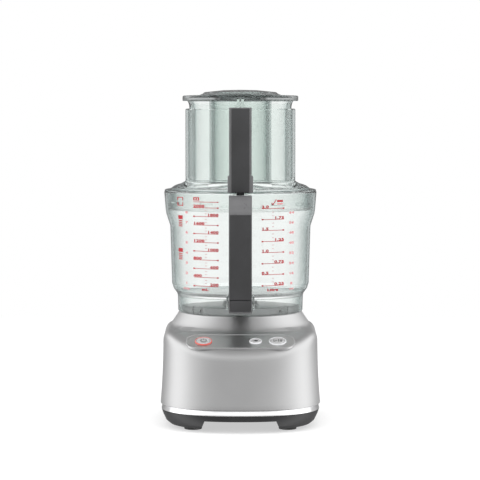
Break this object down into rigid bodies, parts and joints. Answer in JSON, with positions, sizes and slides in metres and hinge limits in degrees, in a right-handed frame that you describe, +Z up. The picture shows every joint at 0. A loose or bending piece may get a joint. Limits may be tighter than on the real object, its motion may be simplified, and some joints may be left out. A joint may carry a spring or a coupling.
{
  "type": "food processor",
  "caption": "Countertop food processor: motor base with push buttons, clear bowl with front handle, S blade, locking lid with wide feed chute and a pusher inside a pusher.",
  "frame": {"origin": "on the table, midway across the whole object in X and in Y; the drive axis stands 23.5 mm behind it", "axes": "+Z up, the handle and controls face -Y, +X is to the right of someone facing the controls"},
  "size_m": [0.1912, 0.233, 0.4014],
  "materials": {
    "housing_metal": "satin silver coat",
    "bright_trim": "mirror bright",
    "black_plastic": "fine matte",
    "foot_rubber": "matte",
    "screw_steel": "zinc plated",
    "seat_plastic": "satin",
    "panel_silver": "satin silver",
    "red_light": "lit, translucent",
    "white_light": "lit, translucent",
    "key_silver": "satin silver",
    "circuit_board": "solder mask",
    "cast_bracket": "as cast",
    "polished_steel": "ground",
    "lamination_steel": "varnished laminations",
    "winding_copper": "enamelled copper wire",
    "capacitor_white": "smooth",
    "clear_plastic": "clear, polished",
    "handle_grey": "satin",
    "grip_charcoal": "satin",
    "blade_steel": "ground edge",
    "seal_silicone": "soft translucent",
    "smoke_plastic": "translucent grey"
  },
  "bodies": {
    "base": {"housing": "housing_metal", "trim_band": "bright_trim", "chassis": "black_plastic", "bottom_grille": "black_plastic", "rubber_feet": "foot_rubber", "housing_screws": "screw_steel", "bowl_seat": "seat_plastic", "shaft_seal": "foot_rubber", "control_panel": "panel_silver", "power_ring": "red_light", "pulse_ring": "white_light", "start_ring": "white_light", "control_board": "circuit_board", "board_screws": "screw_steel", "button_switches": "black_plastic", "lower_bracket": "cast_bracket", "upper_bracket": "cast_bracket", "lower_bearing": "polished_steel", "upper_bearing": "polished_steel", "stator_core": "lamination_steel", "stator_windings": "winding_copper", "motor_bolts": "screw_steel", "motor_grommets": "foot_rubber", "run_capacitor": "capacitor_white", "capacitor_clamp": "screw_steel", "interlock_switch": "black_plastic", "plunger_spring": "polished_steel", "cord_gland": "black_plastic"},
    "rotor": {"rotor_core": "lamination_steel", "motor_shaft": "polished_steel", "cooling_fan": "black_plastic", "drive_coupling": "polished_steel"},
    "power_key": {"power_button": "key_silver"},
    "pulse_key": {"pulse_button": "key_silver"},
    "start_key": {"start_button": "key_silver"},
    "plunger": {"switch_plunger": "seat_plastic"},
    "bowl": {"bowl": "clear_plastic", "handle_frame": "handle_grey", "handle_grip": "grip_charcoal", "handle_foot_cap": "grip_charcoal"},
    "handle_link": {"handle_rod": "black_plastic"},
    "spindle": {"drive_spindle": "seat_plastic"},
    "blade": {"blade_hub": "seat_plastic", "lower_blade": "blade_steel", "upper_blade": "blade_steel"},
    "lid": {"lid": "clear_plastic", "lid_seal": "seal_silicone", "spine_frame": "handle_grey", "spine_cover": "grip_charcoal", "rod_spring": "polished_steel"},
    "lid_link": {"lid_rod": "black_plastic"},
    "large_pusher": {"pusher_body": "clear_plastic", "pusher_tray": "smoke_plastic"},
    "small_pusher": {"small_pusher": "clear_plastic", "small_pusher_cap": "smoke_plastic"}
  },
  "joints": [
    {"name": "motor_spin", "type": "hinge", "parent": "base", "child": "rotor", "pos_m": [0, 0.0235, 0.15], "axis": [0, 0, 1], "continuous": true},
    {"name": "power_press", "type": "slide", "parent": "base", "child": "power_key", "axis": [0, 0.3387, -0.9409], "range_m": [0, 0.0015], "stiffness_N_per_m": 600, "springref_m": -0.002},
    {"name": "pulse_press", "type": "slide", "parent": "base", "child": "pulse_key", "axis": [0, 0.3387, -0.9409], "range_m": [0, 0.0015], "stiffness_N_per_m": 600, "springref_m": -0.002},
    {"name": "start_press", "type": "slide", "parent": "base", "child": "start_key", "axis": [0, 0.3387, -0.9409], "range_m": [0, 0.0015], "stiffness_N_per_m": 600, "springref_m": -0.002},
    {"name": "plunger_slide", "type": "slide", "parent": "base", "child": "plunger", "axis": [0, 0, 1], "range_m": [-0.005, 0], "stiffness_N_per_m": 100, "springref_m": 0.006, "deforming": ["plunger_spring"]},
    {"name": "bowl_lift", "type": "slide", "parent": "base", "child": "bowl", "axis": [0, 0, 1], "range_m": [0, 0.07]},
    {"name": "handle_link_slide", "type": "slide", "parent": "bowl", "child": "handle_link", "axis": [0, 0, 1], "range_m": [-0.005, 0]},
    {"name": "spindle_spin", "type": "hinge", "parent": "bowl", "child": "spindle", "pos_m": [0, 0.0235, 0.19], "axis": [0, 0, 1], "continuous": true},
    {"name": "blade_lift", "type": "slide", "parent": "spindle", "child": "blade", "axis": [0, 0, 1], "range_m": [0, 0.05]},
    {"name": "lid_lift", "type": "slide", "parent": "bowl", "child": "lid", "axis": [0, 0, 1], "range_m": [0, 0.12]},
    {"name": "lid_link_slide", "type": "slide", "parent": "lid", "child": "lid_link", "axis": [0, 0, 1], "range_m": [-0.005, 0], "stiffness_N_per_m": 150, "springref_m": 0.005, "deforming": ["rod_spring"]},
    {"name": "large_pusher_lift", "type": "slide", "parent": "lid", "child": "large_pusher", "axis": [0, 0, 1], "range_m": [0, 0.11]},
    {"name": "small_pusher_lift", "type": "slide", "parent": "large_pusher", "child": "small_pusher", "axis": [0, 0, 1], "range_m": [0, 0.11]}
  ],
  "couplings": [
    {"joint": "spindle_spin", "follows": "motor_spin", "ratio": 1},
    {"joint": "handle_link_slide", "follows": "lid_link_slide", "ratio": 1},
    {"joint": "plunger_slide", "follows": "lid_link_slide", "ratio": 1}
  ]
}
